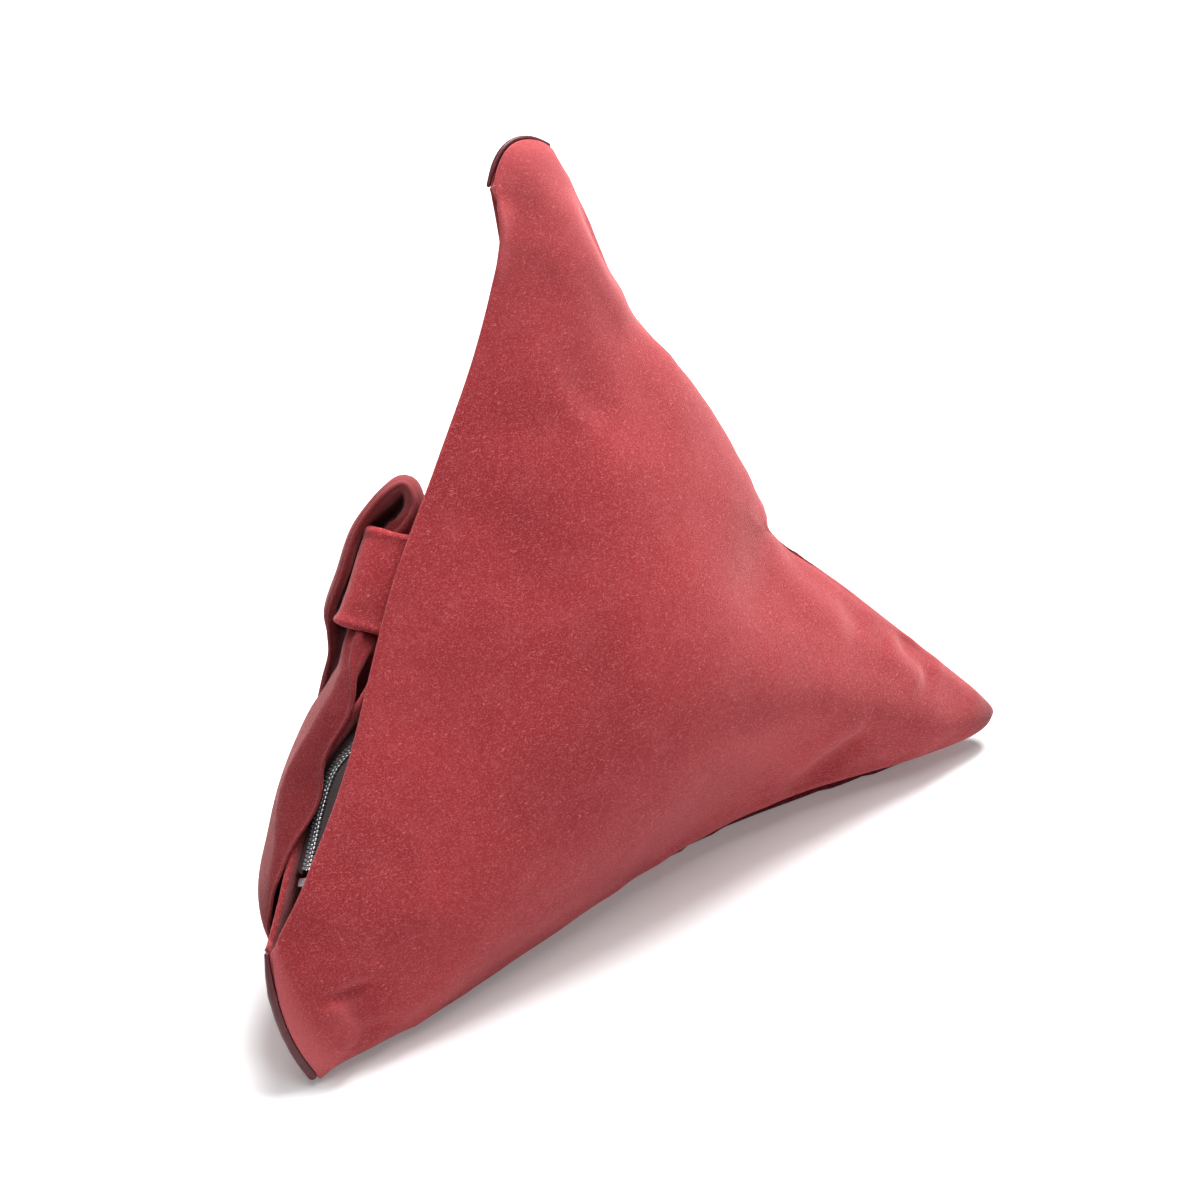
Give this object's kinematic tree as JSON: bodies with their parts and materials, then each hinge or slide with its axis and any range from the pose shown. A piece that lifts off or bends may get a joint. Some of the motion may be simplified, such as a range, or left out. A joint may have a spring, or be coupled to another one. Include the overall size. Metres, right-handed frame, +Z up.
{
  "type": "clutch bag",
  "caption": "Soft triangular suede clutch with a zipped mouth, piped end seams and a gathered hand sash held by a keeper band.",
  "frame": {"origin": "on the floor, below the middle of the whole bag's box", "axes": "+X from the far tip towards the lower end of the mouth, +Y from the sash side to the plain back, +Z up"},
  "size_m": [0.336, 0.1236, 0.2846],
  "materials": {
    "suede": "napped suede, matt",
    "piping_leather": "smooth leather, satin",
    "zip_tape": "woven tape, matt",
    "lining": "plain woven lining",
    "zip_metal": "nickel-coloured, satin"
  },
  "bodies": {
    "bag": {"back_panel": "suede", "front_panel": "suede", "back_lining": "lining", "front_lining": "lining", "zip_teeth_back": "zip_metal", "zip_teeth_front": "zip_metal", "zip_tape_back": "zip_tape", "zip_tape_front": "zip_tape", "zip_lower_stop": "zip_metal", "zip_upper_stop_front": "zip_metal", "zip_upper_stop_back": "zip_metal", "upper_end_piping": "piping_leather", "lower_end_piping": "piping_leather", "sash": "suede", "keeper_band": "suede"},
    "slider": {"zip_slider": "zip_metal"},
    "pull": {"zip_pull": "zip_metal"}
  },
  "joints": [
    {"name": "zip_slide", "type": "slide", "parent": "bag", "child": "slider", "axis": [0.5441, 0.239, -0.8042], "range_m": [0, 0.13]},
    {"name": "pull_swing", "type": "hinge", "parent": "slider", "child": "pull", "pos_m": [0.0199, -0.01565, 0.23693], "axis": [0.0094, -0.9603, -0.279], "range_deg": [0, 130]}
  ]
}
